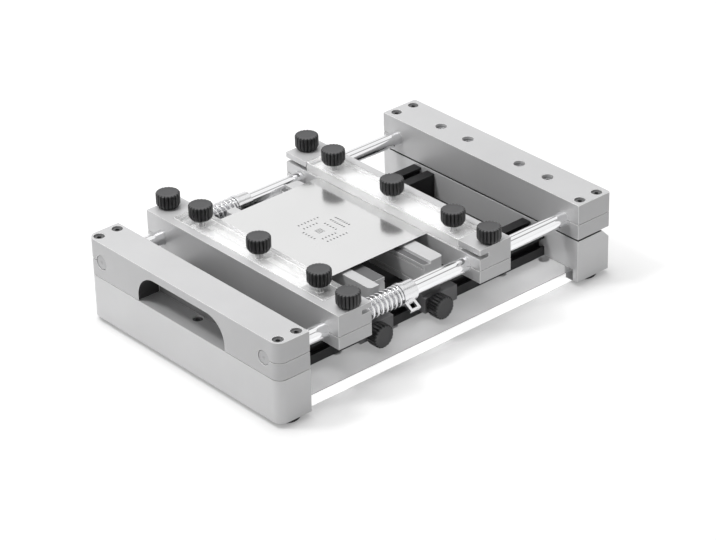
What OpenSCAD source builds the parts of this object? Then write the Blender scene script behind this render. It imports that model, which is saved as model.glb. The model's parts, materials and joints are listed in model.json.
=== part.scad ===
/* [Blocks] */
// Length between the outer faces of the end blocks
press_l = 337; // [325:1:350]
// Width of the blocks and bars across the press
press_w = 224; // [222:1:236]
// Thickness of the left block and of the handle above it
left_block_l = 30; // [28:1:34]
// Thickness of the right block and of the hinge bar above it
right_block_l = 35; // [33:1:38]
// Height of the lower blocks
lower_block_h = 36; // [30:1:42]
// Height of the hinge bar
hinge_bar_h = 30; // [29:1:36]
// Gap under the handle when the frame is down
handle_gap = 0.3; // [0.3:0.1:0.8]
// Gap under the hinge bar
hinge_gap = 1.5; // [1.2:0.1:2]
// Radius of the outer upright edges at the handle end
block_round = 8; // [3:0.5:8]
// Radius of the outer upright edges at the hinge end
hinge_end_round = 2; // [1:0.5:3]
// Chamfer that lets the frame swing back past upright
block_chamfer = 8; // [7.5:0.25:8.5]

/* [Hand recess] */
// Width of the hand recess
recess_w = 102; // [80:1:130]
// Height of the hand recess
recess_h = 24.2; // [21:0.2:26]
// Depth of the hand recess
recess_depth = 20; // [15:0.5:22]
// Radius of the two upper corners of the hand recess
recess_round = 20; // [10:1:20]

/* [Feet and base plate] */
// Height of a rubber foot
foot_h = 4; // [3:0.5:8]
// Diameter of a rubber foot
foot_d = 22; // [16:1:23]
// Distance of a foot's centre from the outer face of its block
foot_inset_x = 16; // [12:0.5:17]
// Distance of a foot's centre from the end of its block
foot_inset_y = 12.5; // [11.5:0.5:20]
// Thickness of the clear base plate
plate_t = 10; // [8:0.5:14]
// Distance of the plate's long edges from the ends of the blocks
plate_inset = 5; // [3:0.5:10]
// Length of the tongue that the plate has in each block
tongue_l = 10; // [8:0.5:12]
// Width of that tongue
tongue_w = 196; // [160:2:200]
// Distance of a tongue screw from the middle of the press
tongue_screw_y = 70; // [50:1:75]

/* [Rails] */
// Distance that a board holder stands out past a rail
holder_over = 8.5; // [6:0.5:10]
// Width of a rail
rail_w = 24.5; // [24:0.5:25.5]
// Height of a rail
rail_h = 24; // [23:0.5:26]
// Width of a rail slot at its mouth
slot_mouth = 7; // [6:0.5:8]
// Width of a rail slot inside
slot_w = 10.5; // [9.5:0.5:11]
// Thickness of the lips of a rail slot
slot_lip = 2; // [1.5:0.1:2.5]
// Depth of a rail slot
slot_depth = 6; // [5.6:0.2:6.6]
// Height of the side slot's middle above the rail's underside
side_slot_rise = 11.5; // [10.5:0.5:12]
// Distance of the first rail screw from the left block
rail_screw_start = 8.5; // [6:0.5:12]
// Spacing of the screws in a rail
rail_screw_pitch = 57; // [50:1:62]
// Number of screws in each rail
rail_screw_count = 5; // [3:1:5]
// Thickness of the dark bed plate between the rails
bed_t = 3; // [2:0.5:6]

/* [Rods] */
// Diameter of the two rods
rod_d = 12; // [10:0.5:12]
// Distance of a rod's axis from the ends of the blocks and bars
rod_edge = 16.5; // [16.4:0.1:17]
// Height of the rods above the lower blocks
rod_rise = 14.5; // [13.5:0.5:17]
// Distance of the rod ends inside the outer faces
rod_inset = 0.5; // [0:0.1:2]
// Width of the slits that let the blocks and bars grip the rods
slit_w = 0.4; // [0.3:0.1:1]
// Distance of the gripping screws and knobs outward from a rod's axis
grip_out = 9.5; // [9.1:0.1:10.5]

/* [Clamp bars] */
// Thickness of a clamp bar
bar_l = 32; // [30:0.5:36]
// Height of a clamp bar
bar_h = 28.5; // [27:0.5:30]
// Distance from the rods' axis down to the underside of a bar
bar_below = 10.5; // [9:0.5:12]
// Place of the left bar along the press
left_bar_x = -95.2; // [-97:0.2:-94]
// Width of the raised end of a bar
lug_w = 24; // [22:0.5:24]
// Thickness of the lip along a bar's outer side
lip_l = 6.7; // [5:0.1:8]
// Depth of the seat for the clamp strip
seat_depth = 8.7; // [8:0.1:9]
// Height of the groove in the inner side of a bar's raised ends
groove_h = 3.4; // [2:0.2:4]
// Depth of that groove
groove_l = 9; // [6:0.5:10]
// Thickness of a clear clamp strip
strip_t = 8.3; // [7:0.1:9]
// Gap round a clamp strip
strip_gap = 0.3; // [0.3:0.1:0.6]

/* [Stencil foil] */
// Length of the foil along the press; the right bar follows it
foil_l = 128; // [126:0.5:137]
// Width of the foil
foil_w = 126; // [120:1:130]
// Distance of the foil's middle from the middle of the press
foil_y = 10; // [9:0.5:12]
// Thickness of the foil
foil_t = 0.2; // [0.2:0.05:0.4]
// Length of foil that the right strip holds
foil_hold = 8.4; // [6:0.2:9]
// Length of foil in the left bar's channel
foil_in = 11; // [9:0.5:13]
// Clearance over and under the foil in the left bar
foil_gap = 0.3; // [0.3:0.1:0.5]
// Length of the notches that let the foil pass the studs
notch_l = 14; // [12:0.5:18]
// Width of those notches
notch_w = 9; // [8:0.5:12]
// Spacing of the stencil openings
pad_pitch = 3.2; // [3:0.2:4]
// Length of a stencil opening
pad_l = 1.9; // [1:0.1:2.2]
// Width of a stencil opening
pad_w = 0.9; // [0.5:0.1:1.2]

/* [Knobs] */
// Diameter of a knob
knob_d = 19; // [16:0.5:20]
// Height of a knob
knob_h = 12; // [10:0.5:14]
// Number of flutes round a knob
flutes = 20; // [16:1:24]
// Radius of a flute
flute_r = 0.9; // [0.6:0.1:1.1]
// Radius of a knob's upper edge
knob_edge_r = 1.5; // [1:0.25:2.5]
// Height of the tapered part under a knob
knob_taper_h = 3; // [2:0.5:4]
// Diameter of a knob's stud
stud_d = 5; // [4:0.5:5]
// Gap under a knob
knob_gap = 0.3; // [0.3:0.1:0.6]
// Diameter of the metal boss under a strip knob
boss_d = 9; // [7:0.5:12]
// Height of that boss
boss_h = 2; // [1:0.25:4]
// Distance of the outer strip knobs from the middle strip knob
strip_knob_y = 69; // [66:0.5:74]
// Length of a grip knob's stud
grip_stud_l = 24; // [22:0.5:26]
// Depth to which a strip knob's stud enters the bar
strip_stud_in = 12; // [8:0.5:15]

/* [Springs and collars] */
// Outer diameter of a spring
spring_d = 17; // [16:0.25:18]
// Diameter of the spring wire
wire_d = 1.8; // [1.4:0.1:1.8]
// Number of curls of a spring
curls = 9; // [5:1:10]
// Gap between a spring and the bar
spring_gap = 0.3; // [0.3:0.1:0.6]
// Length of a spring between the bar and its collar
spring_l = 39.9; // [37:0.1:45]
// Length of a collar
collar_l = 14; // [12:0.5:18]
// Diameter of a collar's flange
flange_d = 18; // [17:0.5:20]
// Thickness of a collar's flange
flange_l = 3; // [2:0.5:4]
// Diameter of a collar behind its flange
collar_d = 16.4; // [15:0.2:16.8]
// Length of a collar's clamping ear along the rod
ear_l = 10; // [8:0.5:12]
// Distance that the ear stands out from the collar
ear_reach = 8.5; // [7:0.5:10]
// Thickness of the ear
ear_t = 3; // [2:0.25:4]
// Angle of the ear under the horizontal
ear_angle = 31; // [0:1:60]
// Width of the square hole in the ear
ear_hole = 5; // [3:0.25:5.5]

/* [Board holders] */
// Thickness of the right board holder
holder_l = 19.7; // [18:0.1:22]
// Thickness of the left board holder
left_holder_l = 22; // [20:0.1:23]
// Length of a board holder across the press
holder_w = 168; // [160:1:170]
// Height of a board holder
holder_h = 23.7; // [22:0.1:24.2]
// Width of the right holder's ledge, which carries the board
ledge_l = 7; // [6:0.5:12]
// Width of the left holder's ledge
left_ledge_l = 12.5; // [8:0.5:14]
// Distance that the left ledge ends before its holder
ledge_end_in = 8; // [6:0.5:8.2]
// Height of a groove along a holder's inner side
side_groove_h = 1.2; // [0.8:0.1:2]
// Drop of the upper groove under the ledge
upper_groove_drop = 3; // [2:0.5:6]
// Drop of the lower groove under the ledge
lower_groove_drop = 16; // [12:0.5:18]
// Drop of the ledge under the top of the holder
ledge_drop = 1.6; // [1:0.1:2.4]
// Radius of a holder's upright corners
holder_round = 3; // [1:0.5:5]
// Distance from the left bar to the left holder
left_holder_gap = 23; // [20:0.5:26]
// Distance from the right holder to the right bar
right_holder_gap = 11.7; // [9.7:0.5:13.7]
// Gap between a holder and the rails
slide_gap = 0.3; // [0.3:0.1:0.5]
// Length of a clamp block
clamp_l = 33; // [30:0.5:34]
// Thickness of a clamp block
clamp_t = 9.2; // [8:0.2:11]
// Height of a clamp block
clamp_h = 13; // [11:0.5:14]
// Distance of the left rail knob from the left end of its clamp block
left_rail_knob_in = 13; // [12:0.5:19]
// Distance of the right rail knob from the left end of its clamp block
right_rail_knob_in = 9; // [8.5:0.5:15]

/* [Hinges] */
// Distance of a hinge from the middle of the press
hinge_y = 45.25; // [42:0.25:50]
// Width of a hinge
hinge_w = 45; // [40:0.5:50]
// Distance of the hinge axis from the outer face
hinge_inset = 3.2; // [3.1:0.1:3.6]
// Length of a hinge leaf from the hinge axis
leaf_l = 25; // [22:0.5:28]
// Thickness of a hinge leaf
leaf_t = 2; // [1.6:0.1:2.2]
// Diameter of a hinge knuckle
knuckle_d = 6; // [5:0.1:6]
// Diameter of a hinge pin
pin_d = 3; // [2:0.1:3.2]
// Spacing of the two screws of a hinge leaf
leaf_screw_pitch = 31.5; // [28:0.5:33]
// Distance of the leaf screws from the outer face
leaf_screw_inset = 18; // [16:0.5:20]
// Diameter of the wells over the hinge screws
well_d = 9.3; // [9:0.1:10]
// Depth of those wells
well_depth = 7.5; // [6:0.5:23]

/* [Screws] */
// Diameter of the gripping screws' shanks
screw_d = 5; // [4:0.5:5]
// Diameter of a cap screw's head
cap_d = 7.8; // [7.5:0.1:8.4]
// Height of a cap screw's head
cap_h = 5; // [4:0.25:6]
// Depth of a cap screw under the surface
cap_sink = 1; // [0.5:0.25:2]
// Diameter of a small screw's shank
small_d = 4; // [3:0.5:4]
// Diameter of a countersunk head
csk_d = 8; // [7:0.25:8.5]
// Clearance round a screw head
head_gap = 0.4; // [0.3:0.1:0.6]
// Clearance of a sliding or turning fit, on the radius
running_gap = 0.05; // [0.02:0.01:0.1]

/* [Hidden] */
$fn = 48;
outer_x = press_l / 2;
half_w = press_w / 2;
left_in_x = left_block_l - outer_x;
right_in_x = outer_x - right_block_l;
lower_top = foot_h + lower_block_h;
handle_z = lower_top + handle_gap;
hinge_bar_z = lower_top + hinge_gap;
frame_top = hinge_bar_z + hinge_bar_h;
plate_top = foot_h + plate_t;
rail_top = plate_top + rail_h;
rail_out = holder_w / 2 - holder_over;
rail_in = rail_out - rail_w;
rail_mid = rail_in + rail_w / 2;
rod_r = rod_d / 2;
rod_y = half_w - rod_edge;
rod_z = lower_top + rod_rise;
grip_y = rod_y + grip_out;
bar_z = rod_z - bar_below;
bar_top = bar_z + bar_h;
seat_z = bar_top - seat_depth;
lug_in = half_w - lug_w;
left_bar_in = left_bar_x + bar_l / 2;
foil_x0 = left_bar_in - foil_in;
foil_x1 = foil_x0 + foil_l;
right_bar_in = foil_x1 - foil_hold;
right_bar_x = right_bar_in + bar_l / 2;
foil_top = seat_z + foil_t;
left_strip_z = foil_top + foil_gap;
channel_side = 2;
channel_w = foil_w + 2 * channel_side;
channel_depth = foil_t + 2 * foil_gap;
left_strip_x = left_bar_x + lip_l / 2;
right_strip_x = right_bar_x - lip_l / 2;
stud_r = stud_d / 2;
knob_r = knob_d / 2;
spring_r = (spring_d - wire_d) / 2;
spring_x0 = left_bar_in + spring_gap;
collar_x = spring_x0 + spring_l;
holder_z = rail_top + slide_gap;
holder_top = holder_z + holder_h;
ledge_z = holder_top - ledge_drop;
side_slot_z = plate_top + side_slot_rise;
clamp_y = rail_out + slide_gap;
clamp_z = side_slot_z - clamp_h / 2;
left_holder_x = left_bar_in + left_holder_gap + left_holder_l;
right_holder_x = right_bar_in - right_holder_gap - holder_l;
left_clamp_x = left_holder_x - clamp_l;
left_rail_knob_x = left_clamp_x + left_rail_knob_in;
right_rail_knob_x = right_holder_x + right_rail_knob_in;
hinge_x = outer_x - hinge_inset;
hinge_z = lower_top + hinge_gap / 2;
knuckle_r = knuckle_d / 2;
pin_r = pin_d / 2;
knuckle_gap = 0.3;
leaf_screw_x = outer_x - leaf_screw_inset;
screw_r = screw_d / 2;
small_r = small_d / 2;
cap_r = cap_d / 2;
csk_r = csk_d / 2;
csk_h = csk_r - small_r;
grip_screw_l = 24;
grip_shank_l = grip_screw_l - cap_h;
rail_thread_l = 8;
rail_screw_l = plate_t + rail_thread_l;
tongue_thread_l = 10;
tongue_screw_l = plate_t + tongue_thread_l;
foot_screw_head_h = 1.5;
foot_screw_head_r = 4;
foot_screw_floor = 0.8;
foot_screw_l = 14;
foot_hole_r = small_r + head_gap;
foot_taper = 1;
recess_screw_l = 14;
recess_screw_inset = 4;
lower_leaf_screw_l = 12;
upper_leaf_screw_l = hinge_bar_h - well_depth;
knuckle_w = hinge_w / 3;
handle_screw_inset = 6.4;
hinge_bar_screw_inset = 8.3;
handle_screw_xs = [handle_screw_inset - outer_x, left_in_x - handle_screw_inset];
hinge_bar_screw_xs = [right_in_x + hinge_bar_screw_inset, outer_x - hinge_bar_screw_inset];
strip_knob_ys = [-strip_knob_y, 0, strip_knob_y];
foil_near = foil_y - foil_w / 2;
channel_near = foil_y - channel_w / 2;
channel_far = foil_y + channel_w / 2;
key_gap = 0.1;
key_h = 3.5;
relief = 1;
rod_room = 0.3;
neck_end = holder_w / 2 - holder_round;
nut_l = 12;
nut_gap = 0.3;
edge_steps = 5;
knob_foot_inset = 1.6;
knob_foot_r = knob_r - knob_foot_inset;
flute_out = 0.27;
ear_root = 1;
full_turn = 360;
over = 1;

// A box from one corner to the opposite one
module span(low, high) {
    translate(low) cube(high - low);
}

// A rod along the press from x0 to x1
module along_x(x0, x1, y, z, r) {
    translate([x0, y, z]) rotate([0, 90, 0]) cylinder(h = x1 - x0, r = r);
}

// A rod across the press from y0 to y1
module along_y(x, y0, y1, z, r) {
    translate([x, y1, z]) rotate([90, 0, 0]) cylinder(h = y1 - y0, r = r);
}

// A profile drawn in X and Z, drawn out across the press from y0 to y1
module across(y0, y1) {
    translate([0, y1, 0]) rotate([90, 0, 0]) linear_extrude(y1 - y0) children();
}

// The plan of an end block: its two outer corners are round, outer side at negative x
module block_plan(l, w, r) {
    translate([r, -w / 2]) square([l - r, w]);
    translate([0, r - w / 2]) square([r + over / 10, w - 2 * r]);
    for (side = [-1, 1]) translate([r, side * (w / 2 - r)]) circle(r);
}

module rounded_plan(l, w, r) {
    translate([r, 0]) square([l - 2 * r, w]);
    translate([0, r]) square([l, w - 2 * r]);
    for (x = [r, l - r], y = [r, w - r]) translate([x, y]) circle(r);
}

// A cap screw that points down, the top of its head at z = 0
module cap_screw(shank_l, shank_r) {
    difference() {
        translate([0, 0, -cap_h]) cylinder(h = cap_h, r = cap_r);
        translate([0, 0, -cap_h / 2]) cylinder(h = cap_h, r = cap_r / 2, $fn = 6);
    }
    translate([0, 0, -cap_h - shank_l]) cylinder(h = shank_l + over / 10, r = shank_r);
}

// The well and the hole that a cap screw sits in, open at z = 0
module cap_screw_hole(sink, shank_l, shank_r) {
    translate([0, 0, -sink - cap_h]) cylinder(h = sink + cap_h + over, r = cap_r + head_gap);
    translate([0, 0, -sink - cap_h - shank_l]) cylinder(h = shank_l + over, r = shank_r);
}

// A countersunk screw that points up from a face at z = 0
module csk_screw(shank_l) {
    difference() {
        cylinder(h = csk_h, r1 = csk_r, r2 = small_r);
        translate([0, 0, -over]) cylinder(h = over + csk_h / 2, r = small_r * 0.6, $fn = 6);
    }
    translate([0, 0, csk_h]) cylinder(h = shank_l - csk_h, r = small_r);
}

module csk_hole(shank_l) {
    cylinder(h = csk_h, r1 = csk_r, r2 = small_r);
    translate([0, 0, -over]) cylinder(h = shank_l + over, r = small_r);
}

module at_rail_screws() {
    for (side = [-1, 1], i = [0 : rail_screw_count - 1])
        translate([left_in_x + rail_screw_start + i * rail_screw_pitch, side * rail_mid, foot_h]) children();
}

module at_tongue_screws() {
    for (x = [left_in_x - tongue_l / 2, right_in_x + tongue_l / 2], y = [-1, 0, 1])
        translate([x, y * tongue_screw_y, foot_h]) children();
}

module at_feet() {
    for (sx = [-1, 1], sy = [-1, 1])
        translate([sx * (outer_x - foot_inset_x), sy * (half_w - foot_inset_y), 0]) children();
}

module at_hinges() {
    for (side = [-1, 1]) translate([0, side * hinge_y, 0]) children();
}

module at_leaf_screws() {
    at_hinges() for (side = [-1, 1]) translate([leaf_screw_x, side * leaf_screw_pitch / 2, 0]) children();
}

module base_plate() {
    color("gainsboro", 0.5) difference() {
        union() {
            span([left_in_x, plate_inset - half_w, foot_h], [right_in_x, half_w - plate_inset, plate_top]);
            span([left_in_x - tongue_l, -tongue_w / 2, foot_h],
                [right_in_x + tongue_l, tongue_w / 2, plate_top]);
        }
        at_rail_screws() csk_hole(rail_screw_l);
        at_tongue_screws() csk_hole(tongue_screw_l);
    }
}

// The pockets and threads that both lower blocks have underneath
module lower_block_cuts() {
    span([left_in_x - tongue_l, -tongue_w / 2, foot_h - over],
        [right_in_x + tongue_l, tongue_w / 2, plate_top]);
    at_tongue_screws() cylinder(h = tongue_screw_l, r = small_r);
    at_feet() translate([0, 0, foot_h - over]) cylinder(h = foot_screw_l + over, r = small_r);
}

module recess_screw_place() {
    translate([recess_depth - recess_screw_inset - outer_x, 0, lower_top]) children();
}

module lower_left_block() {
    color("silver") difference() {
        translate([-outer_x, 0, foot_h]) linear_extrude(lower_block_h)
            block_plan(left_block_l, press_w, block_round);
        lower_block_cuts();
        recess_screw_place() cap_screw_hole(cap_sink, recess_screw_l, screw_r);
    }
}

module recess_screw() {
    color("dimgray") recess_screw_place() translate([0, 0, -cap_sink])
        cap_screw(recess_screw_l, screw_r);
}

module lower_right_block() {
    color("silver") difference() {
        intersection() {
            across(-half_w, half_w) polygon([
                [right_in_x, foot_h],
                [outer_x, foot_h],
                [outer_x, lower_top - block_chamfer],
                [outer_x - block_chamfer, lower_top],
                [right_in_x, lower_top]
            ]);
            translate([outer_x, 0, foot_h]) mirror([1, 0, 0]) linear_extrude(lower_block_h)
                block_plan(right_block_l, press_w, hinge_end_round);
        }
        lower_block_cuts();
        at_hinges() span([hinge_x - leaf_l, -hinge_w / 2, lower_top - leaf_t],
            [outer_x + over, hinge_w / 2, lower_top + over]);
        at_leaf_screws() translate([0, 0, lower_top]) mirror([0, 0, 1])
            csk_hole(lower_leaf_screw_l);
    }
}

// The rail's section, its inner side at y = 0 and its underside at z = 0
module rail_section() {
    difference() {
        square([rail_w, rail_h]);
        translate([rail_w / 2, rail_h]) slot_section();
        translate([rail_w, side_slot_rise]) rotate(-90) slot_section();
    }
}

// A slot's section, its mouth facing up at y = 0
module slot_section() {
    translate([-slot_mouth / 2, -slot_depth]) square([slot_mouth, slot_depth + over]);
    translate([-slot_w / 2, -slot_depth]) square([slot_w, slot_depth - slot_lip]);
}

module rail() {
    color([0.12, 0.12, 0.13]) difference() {
        translate([left_in_x, rail_in, plate_top]) rotate([90, 0, 90])
            linear_extrude(right_in_x - left_in_x) rail_section();
        at_rail_screws() cylinder(h = rail_screw_l, r = small_r);
    }
}

module near_rail() {
    mirror([0, 1, 0]) rail();
}

module far_rail() {
    rail();
}

module bed_plate() {
    color([0.15, 0.15, 0.16])
        span([left_in_x, -rail_in, plate_top], [right_in_x, rail_in, plate_top + bed_t]);
}

module feet() {
    color([0.08, 0.08, 0.08]) at_feet() difference() {
        union() {
            cylinder(h = foot_h / 2, r1 = foot_d / 2 - foot_taper, r2 = foot_d / 2);
            translate([0, 0, foot_h / 2]) cylinder(h = foot_h / 2, r = foot_d / 2);
        }
        translate([0, 0, -over]) cylinder(h = foot_h + 2 * over, r = foot_hole_r);
        translate([0, 0, -over])
            cylinder(h = over + foot_screw_floor + foot_screw_head_h, r = foot_screw_head_r + head_gap);
    }
}

// The foot screws' heads press the feet against the blocks
module foot_screws() {
    color("gray") at_feet() {
        translate([0, 0, foot_screw_floor]) cylinder(h = foot_screw_head_h, r = foot_screw_head_r);
        translate([0, 0, foot_screw_floor + foot_screw_head_h])
            cylinder(h = foot_h + foot_screw_l - foot_screw_floor - foot_screw_head_h, r = small_r);
    }
}

module rail_screws() {
    color("gray") at_rail_screws() csk_screw(rail_screw_l);
}

module tongue_screws() {
    color("gray") at_tongue_screws() csk_screw(tongue_screw_l);
}

// Three knuckles make a hinge: the outer two belong to the lower leaf
module knuckle(y0, y1) {
    along_y(hinge_x, y0, y1, hinge_z, knuckle_r);
}

module knuckle_room(y0, y1) {
    along_y(hinge_x, y0, y1, hinge_z, knuckle_r + knuckle_gap);
}

module lower_hinge_leaves() {
    color("lightgray") at_hinges() difference() {
        union() {
            difference() {
                span([hinge_x - leaf_l, -hinge_w / 2, lower_top - leaf_t],
                    [hinge_x, hinge_w / 2, lower_top]);
                knuckle_room(-knuckle_w / 2, knuckle_w / 2);
            }
            for (side = [-1, 1]) translate([0, side * knuckle_w, 0])
                knuckle(-knuckle_w / 2, knuckle_w / 2);
        }
        along_y(hinge_x, -hinge_w, hinge_w, hinge_z, pin_r);
        for (side = [-1, 1]) translate([leaf_screw_x, side * leaf_screw_pitch / 2, lower_top])
            mirror([0, 0, 1]) csk_hole(lower_leaf_screw_l);
    }
}

module upper_hinge_leaves() {
    color("lightgray") at_hinges() difference() {
        union() {
            difference() {
                span([hinge_x - leaf_l, -hinge_w / 2, hinge_bar_z],
                    [hinge_x, hinge_w / 2, hinge_bar_z + leaf_t]);
                for (side = [-1, 1]) translate([0, side * knuckle_w, 0])
                    knuckle_room(-knuckle_w / 2 - knuckle_gap, knuckle_w / 2 + knuckle_gap);
            }
            knuckle(knuckle_gap - knuckle_w / 2, knuckle_w / 2 - knuckle_gap);
        }
        along_y(hinge_x, -hinge_w, hinge_w, hinge_z, pin_r + running_gap);
        for (side = [-1, 1]) translate([leaf_screw_x, side * leaf_screw_pitch / 2, hinge_bar_z - over])
            cylinder(h = leaf_t + 2 * over, r = screw_r);
    }
}

module hinge_pins() {
    color("gray") at_hinges() along_y(hinge_x, -hinge_w / 2, hinge_w / 2, hinge_z, pin_r);
}

module lower_leaf_screws() {
    color("gray") at_leaf_screws() translate([0, 0, lower_top]) mirror([0, 0, 1])
        csk_screw(lower_leaf_screw_l);
}

module upper_leaf_screws() {
    color("lightgray") at_leaf_screws() translate([0, 0, frame_top - well_depth + cap_h])
        cap_screw(upper_leaf_screw_l, screw_r);
}

// The bores and slits that grip both rods; a screw or a knob crosses each slit
module rod_grips(x0, x1, r) {
    for (side = [0, 1]) mirror([0, side, 0]) {
        along_x(x0 - over, x1 + over, rod_y, rod_z, r);
        span([x0 - over, rod_y, rod_z - slit_w / 2], [x1 + over, half_w + over, rod_z + slit_w / 2]);
    }
}

module at_grip_screws(xs) {
    for (x = xs, side = [-1, 1]) translate([x, side * grip_y, frame_top]) children();
}

// The outline of the hand recess, seen from the handle end
module recess_outline() {
    translate([-recess_w / 2, -over]) square([recess_w, recess_h - recess_round + over]);
    translate([recess_round - recess_w / 2, 0]) square([recess_w - 2 * recess_round, recess_h]);
    for (side = [-1, 1]) translate([side * (recess_w / 2 - recess_round), recess_h - recess_round])
        circle(recess_round, $fn = 96);
}

module handle_bar() {
    color("silver") difference() {
        translate([-outer_x, 0, handle_z]) linear_extrude(frame_top - handle_z)
            block_plan(left_block_l, press_w, block_round);
        translate([-outer_x - over, 0, handle_z]) rotate([90, 0, 90]) linear_extrude(recess_depth + over)
            recess_outline();
        rod_grips(-outer_x, left_in_x, rod_r);
        at_grip_screws(handle_screw_xs) cap_screw_hole(cap_sink, grip_shank_l, screw_r);
    }
}

module hinge_bar() {
    color("silver") difference() {
        translate([outer_x, 0, hinge_bar_z]) mirror([1, 0, 0]) linear_extrude(hinge_bar_h)
            block_plan(right_block_l, press_w, hinge_end_round);
        rod_grips(right_in_x, outer_x, rod_r);
        at_grip_screws(hinge_bar_screw_xs) cap_screw_hole(cap_sink, grip_shank_l, screw_r);
        at_hinges() {
            span([hinge_x - leaf_l, -hinge_w / 2, hinge_bar_z - over],
                [outer_x + over, hinge_w / 2, hinge_bar_z + leaf_t]);
            span([hinge_x - knuckle_r - knuckle_gap, -hinge_w / 2 - knuckle_gap, hinge_bar_z - over],
                [outer_x + over, hinge_w / 2 + knuckle_gap, hinge_z + knuckle_r + knuckle_gap]);
        }
        at_leaf_screws() {
            translate([0, 0, frame_top - well_depth]) cylinder(h = well_depth + over, r = well_d / 2);
            translate([0, 0, hinge_bar_z]) cylinder(h = hinge_bar_h, r = screw_r);
        }
    }
}

module rod(y) {
    color([0.85, 0.85, 0.87]) along_x(rod_inset - outer_x, outer_x - rod_inset, y, rod_z, rod_r);
}

module near_rod() {
    rod(-rod_y);
}

module far_rod() {
    rod(rod_y);
}

module handle_screws() {
    color("dimgray") at_grip_screws(handle_screw_xs) translate([0, 0, -cap_sink])
        cap_screw(grip_shank_l, screw_r);
}

module hinge_bar_screws() {
    color("dimgray") at_grip_screws(hinge_bar_screw_xs) translate([0, 0, -cap_sink])
        cap_screw(grip_shank_l, screw_r);
}

// A clamp bar about x = 0, its inner side at positive x and its seat at height floor_z
module clamp_bar(floor_z) {
    difference() {
        span([-bar_l / 2, -half_w, bar_z], [bar_l / 2, half_w, bar_top]);
        span([lip_l - bar_l / 2, -lug_in, floor_z], [bar_l / 2 + over, lug_in, bar_top + over]);
        for (side = [-1, 1]) translate([0, side * (half_w - lug_w / 2), 0])
            span([bar_l / 2 - groove_l, -lug_w / 2 - over, floor_z + strip_gap],
                [bar_l / 2 + over, lug_w / 2 + over, floor_z + strip_gap + groove_h]);
        rod_grips(-bar_l / 2, bar_l / 2, rod_r + running_gap);
        for (side = [-1, 1]) translate([0, side * grip_y, bar_top - grip_stud_l - over])
            cylinder(h = grip_stud_l + 2 * over, r = stud_r + running_gap);
        for (y = strip_knob_ys) translate([lip_l / 2, y, floor_z - strip_stud_in - over])
            cylinder(h = strip_stud_in + 2 * over, r = stud_r + running_gap);
    }
}

// A clear strip on the seat of a bar that is drawn about x = 0
module strip(floor_z) {
    color([0.85, 0.9, 0.92], 0.5) difference() {
        span([lip_l + strip_gap - bar_l / 2, strip_gap - lug_in, floor_z],
            [bar_l / 2 - strip_gap, lug_in - strip_gap, floor_z + strip_t]);
        for (y = strip_knob_ys) translate([lip_l / 2, y, floor_z - over])
            cylinder(h = strip_t + 2 * over, r = stud_r + knob_gap);
    }
}

// The left bar has a channel in its seat, in which the foil can slide
module left_bar() {
    color("silver") translate([left_bar_x, 0, 0]) difference() {
        clamp_bar(left_strip_z);
        span([lip_l - bar_l / 2, channel_near, left_strip_z - channel_depth],
            [bar_l / 2 + over, channel_far, left_strip_z + over]);
    }
}

module left_strip() {
    translate([left_bar_x, 0, 0]) strip(left_strip_z);
}

module right_bar() {
    color("silver") translate([right_bar_x, 0, 0]) mirror([1, 0, 0]) clamp_bar(seat_z);
}

module right_strip() {
    translate([right_bar_x, 0, 0]) mirror([1, 0, 0]) strip(foil_top);
}

// Steps of the stencil's pitch: from its middle to the square of pads, to the two columns and
// to the two rows, and from pad to pad in its middle and in a column
square_step = 3.4;
column_steps = [5.6, 7.2];
row_steps = [-5.2, 5.4];
middle_step = 0.5;
column_pitch_step = 0.8;
pattern_x = -27;
pattern_y = 6;

// The openings of the foil: a square of pads round a close middle, with columns and rows beside it
module stencil_pattern() {
    for (turn = [0 : 90 : 270], i = [-2 : 2]) rotate(turn)
        translate([square_step, i] * pad_pitch) square([pad_l, pad_w], center = true);
    for (i = [0 : 3], k = [0 : 3])
        translate([i - 3 / 2, k - 3 / 2] * middle_step * pad_pitch) square(pad_w, center = true);
    for (step = column_steps, i = [-3 : 3])
        translate([step, i * column_pitch_step] * pad_pitch) square([pad_l, pad_w], center = true);
    for (step = row_steps, i = [-2 : 4])
        translate([i, step] * pad_pitch) square([pad_w, pad_l], center = true);
}

module stencil_foil() {
    color([0.93, 0.93, 0.93]) translate([0, 0, seat_z]) linear_extrude(foil_t) difference() {
        translate([foil_x0, foil_near]) square([foil_l, foil_w]);
        for (y = [0, strip_knob_y]) translate([foil_x0 - over, y - notch_w / 2])
            square([notch_l + over, notch_w]);
        translate([pattern_x, pattern_y]) stencil_pattern();
    }
}

// A spring is one tube. Its route is laid out flat, as a distance along the rod and a distance
// round it, and rolled up. It goes straight, bends, winds, bends back and ends straight.
curl_steps = 8;
tube_sides = 6;
bend_steps = 3;
bend_r = 1.25 * wire_d;
wound_round = curls * 2 * PI * spring_r;
lead_angle = atan((spring_l - 2 * wire_d - 2 * bend_r) / wound_round);
wind_steps = curls * curl_steps;

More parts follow.
